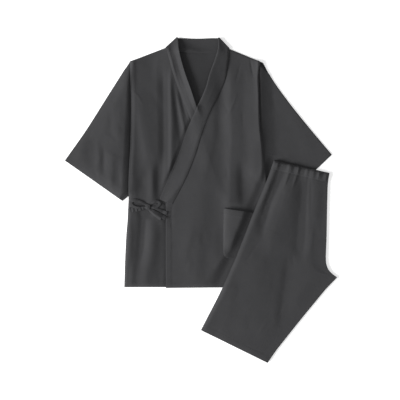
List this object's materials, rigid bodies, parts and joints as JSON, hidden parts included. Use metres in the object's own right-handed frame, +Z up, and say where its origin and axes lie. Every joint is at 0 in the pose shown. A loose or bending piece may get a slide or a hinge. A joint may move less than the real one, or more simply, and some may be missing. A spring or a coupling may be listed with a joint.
{
  "type": "jinbei set",
  "caption": "jinbei laid flat: crossed short-sleeved jacket with side bow and patch pocket, and short gathered trousers folded in half over its corner",
  "frame": {"origin": "middle of the set's footprint, on the surface that it lies on", "axes": "+X towards the wearer's left, +Y from the hem towards the neck, +Z up from the surface"},
  "size_m": [0.8432, 1.008, 0.0179],
  "materials": {
    "jacket_cotton": "matte plain-woven cotton",
    "collar_cotton": "matte plain-woven cotton, folded double",
    "tie_cotton": "matte plain-woven cotton tape",
    "trouser_cotton": "matte plain-woven cotton"
  },
  "bodies": {
    "root": {"back_panel": "jacket_cotton", "right_front": "jacket_cotton", "left_front": "jacket_cotton", "right_sleeve": "jacket_cotton", "left_sleeve": "jacket_cotton", "pocket": "jacket_cotton", "collar_neck": "collar_cotton", "collar_right": "collar_cotton", "collar_left": "collar_cotton", "side_tie": "tie_cotton", "front_tie": "tie_cotton", "tie_knot": "tie_cotton", "tie_loop_side": "tie_cotton", "tie_loop_front": "tie_cotton", "tie_tail_long": "tie_cotton", "tie_tail_short": "tie_cotton", "trouser_leg": "trouser_cotton", "trouser_layers": "trouser_cotton", "waistband": "trouser_cotton"}
  },
  "joints": []
}
